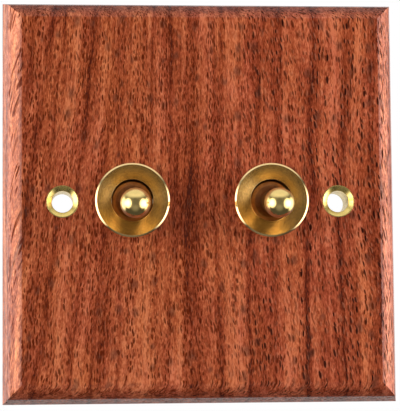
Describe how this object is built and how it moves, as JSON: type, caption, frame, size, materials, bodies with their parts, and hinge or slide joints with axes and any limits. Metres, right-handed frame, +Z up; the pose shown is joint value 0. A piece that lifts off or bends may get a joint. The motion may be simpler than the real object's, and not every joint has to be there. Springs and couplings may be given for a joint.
{
  "type": "toggle light switch",
  "caption": "Wooden wall plate with brass dolly toggle switches side by side, brass-cupped fixing holes at the sides, and switch mechanisms behind it.",
  "frame": {"origin": "centre of the two fixing holes, in the plane of the wooden plate's back", "axes": "+X right seen from the front, +Y back into the wall, +Z up"},
  "size_m": [0.0869, 0.0536, 0.0888],
  "materials": {
    "wood": "satin lacquer",
    "brass_turned": "satin, lathe turned",
    "brass_polished": "polished",
    "brass_cup": "polished",
    "brass_plain": "plain machined",
    "zinc_steel": "zinc plated",
    "spring_steel": "bright wire",
    "silver": "bright",
    "nylon": "natural",
    "moulded_brown": "moulded, slightly glossy"
  },
  "bodies": {
    "plate": {"wood_plate": "wood", "screw_cup_left": "brass_cup", "screw_cup_right": "brass_cup", "backing_plate": "zinc_steel", "backing_screws": "zinc_steel", "earth_terminal": "brass_plain", "earth_terminal_screw": "zinc_steel", "left_bezel_ring": "brass_turned", "left_bush": "brass_plain", "left_pivot_pin": "zinc_steel", "left_fixed_contacts": "silver", "left_common_terminal": "brass_plain", "left_upper_terminal": "brass_plain", "left_lower_terminal": "brass_plain", "left_terminal_screws": "zinc_steel", "left_housing": "moulded_brown", "left_frame": "zinc_steel", "left_frame_screws": "zinc_steel", "right_bezel_ring": "brass_turned", "right_bush": "brass_plain", "right_pivot_pin": "zinc_steel", "right_fixed_contacts": "silver", "right_common_terminal": "brass_plain", "right_upper_terminal": "brass_plain", "right_lower_terminal": "brass_plain", "right_terminal_screws": "zinc_steel", "right_housing": "moulded_brown", "right_frame": "zinc_steel", "right_frame_screws": "zinc_steel"},
    "left_lever": {"left_dolly": "brass_polished", "left_carrier": "nylon", "left_plunger_spring": "spring_steel"},
    "left_plunger": {"left_plunger": "brass_plain"},
    "left_rocker": {"left_rocker": "brass_plain", "left_rocker_tips": "silver"},
    "right_lever": {"right_dolly": "brass_polished", "right_carrier": "nylon", "right_plunger_spring": "spring_steel"},
    "right_plunger": {"right_plunger": "brass_plain"},
    "right_rocker": {"right_rocker": "brass_plain", "right_rocker_tips": "silver"}
  },
  "joints": [
    {"name": "left_lever_pivot", "type": "hinge", "parent": "plate", "child": "left_lever", "pos_m": [-0.0151, -0.0088, 0], "axis": [-1, 0, 0], "range_deg": [0, 12]},
    {"name": "left_plunger_slide", "type": "slide", "parent": "left_lever", "child": "left_plunger", "axis": [0, -0.9945, -0.1045], "range_m": [0, 0.0005], "stiffness_N_per_m": 300, "springref_m": -0.001, "deforming": ["left_plunger_spring"]},
    {"name": "left_rocker_pivot", "type": "hinge", "parent": "plate", "child": "left_rocker", "pos_m": [-0.0151, 0.01244, 0], "axis": [1, 0, 0], "range_deg": [0, 10]},
    {"name": "right_lever_pivot", "type": "hinge", "parent": "plate", "child": "right_lever", "pos_m": [0.0151, -0.0088, 0], "axis": [-1, 0, 0], "range_deg": [0, 12]},
    {"name": "right_plunger_slide", "type": "slide", "parent": "right_lever", "child": "right_plunger", "axis": [0, -0.9945, -0.1045], "range_m": [0, 0.0005], "stiffness_N_per_m": 300, "springref_m": -0.001, "deforming": ["right_plunger_spring"]},
    {"name": "right_rocker_pivot", "type": "hinge", "parent": "plate", "child": "right_rocker", "pos_m": [0.0151, 0.01244, 0], "axis": [1, 0, 0], "range_deg": [0, 10]}
  ],
  "couplings": [
    {"joint": "left_rocker_pivot", "follows": "left_lever_pivot", "ratio": 0.8333},
    {"joint": "right_rocker_pivot", "follows": "right_lever_pivot", "ratio": 0.8333}
  ]
}
